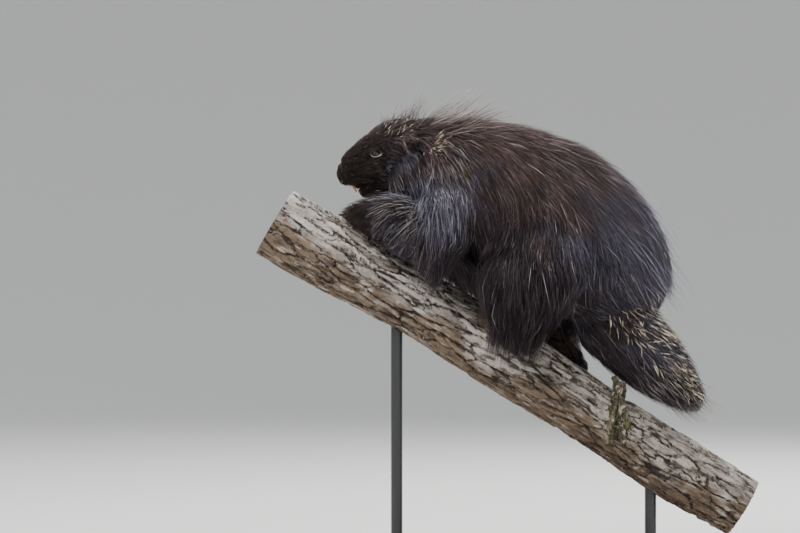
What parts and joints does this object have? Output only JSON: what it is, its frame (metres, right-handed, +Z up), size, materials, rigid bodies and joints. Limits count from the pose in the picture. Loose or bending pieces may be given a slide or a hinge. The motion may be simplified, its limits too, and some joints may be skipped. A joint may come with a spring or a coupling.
{
  "type": "porcupine",
  "caption": "Still, life-size porcupine climbing a cut length of sloping branch, held by a plain display stand with a flat base and rods.",
  "frame": {"origin": "centre of the stand's underside, on the floor below the animal's body", "axes": "+Z up, the animal faces -X up the slope, its left side faces -Y, metres"},
  "size_m": [0.6507, 0.3, 0.6251],
  "materials": {
    "coat": "long dark brown-black coat with pale quills",
    "claw_horn": "dark horn claws, slightly worn",
    "eye": "wet, nearly black eye",
    "tooth": "orange enamel",
    "bark": "grey-brown furrowed bark, cut ends bare",
    "stand_plate": "dark stained and waxed board",
    "stand_metal": "satin black painted steel rod"
  },
  "bodies": {
    "root": {"ear_left": "coat", "ear_right": "coat", "eye_left": "eye", "eye_right": "eye", "foreleg_left": "coat", "foreleg_left_claw_1": "claw_horn", "foreleg_left_claw_2": "claw_horn", "foreleg_left_claw_3": "claw_horn", "foreleg_left_claw_4": "claw_horn", "foreleg_right": "coat", "foreleg_right_claw_1": "claw_horn", "foreleg_right_claw_2": "claw_horn", "foreleg_right_claw_3": "claw_horn", "foreleg_right_claw_4": "claw_horn", "head": "coat", "hindleg_left": "coat", "hindleg_left_claw_1": "claw_horn", "hindleg_left_claw_2": "claw_horn", "hindleg_left_claw_3": "claw_horn", "hindleg_left_claw_4": "claw_horn", "hindleg_left_claw_5": "claw_horn", "hindleg_right": "coat", "hindleg_right_claw_1": "claw_horn", "hindleg_right_claw_2": "claw_horn", "hindleg_right_claw_3": "claw_horn", "hindleg_right_claw_4": "claw_horn", "hindleg_right_claw_5": "claw_horn", "incisors": "tooth", "neck": "coat", "perch_branch": "bark", "stand_base": "stand_plate", "stand_rod_front": "stand_metal", "stand_rod_rear": "stand_metal", "tail": "coat", "torso": "coat"}
  },
  "joints": []
}
